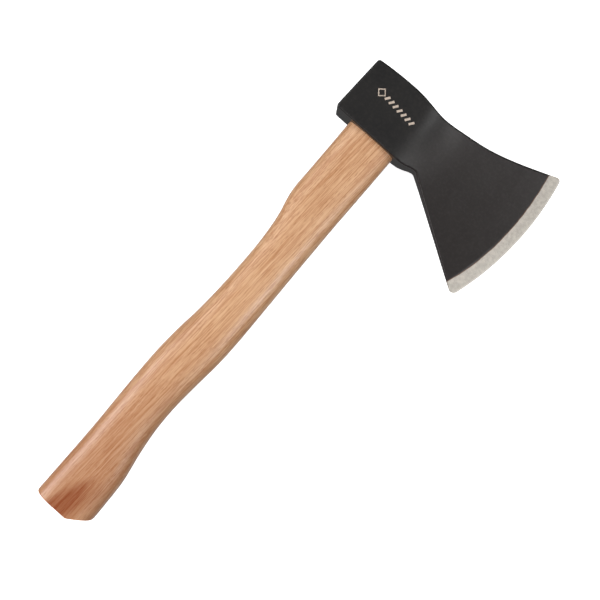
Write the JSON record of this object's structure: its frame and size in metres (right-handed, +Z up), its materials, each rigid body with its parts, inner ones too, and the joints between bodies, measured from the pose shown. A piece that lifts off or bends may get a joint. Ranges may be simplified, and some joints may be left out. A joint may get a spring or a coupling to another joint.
{
  "type": "hatchet",
  "caption": "One-hand hatchet with a black-painted forged steel head, bare ground edge and a curved beech handle held by a wooden wedge and a steel ring wedge.",
  "frame": {"origin": "on the resting cheek of the head, straight under the centre of the eye", "axes": "the hatchet lies on its side: +X from the poll to the cutting edge, +Y up the handle to the top of the head, +Z up through the thickness"},
  "size_m": [0.1462, 0.3762, 0.028],
  "materials": {
    "black_paint": "satin",
    "beech": "satin",
    "wedge_wood": "matte",
    "bare_steel": "satin"
  },
  "bodies": {
    "root": {"head": "black_paint", "handle": "beech", "kerf_wedge": "wedge_wood", "ring_wedge": "bare_steel"}
  },
  "joints": []
}
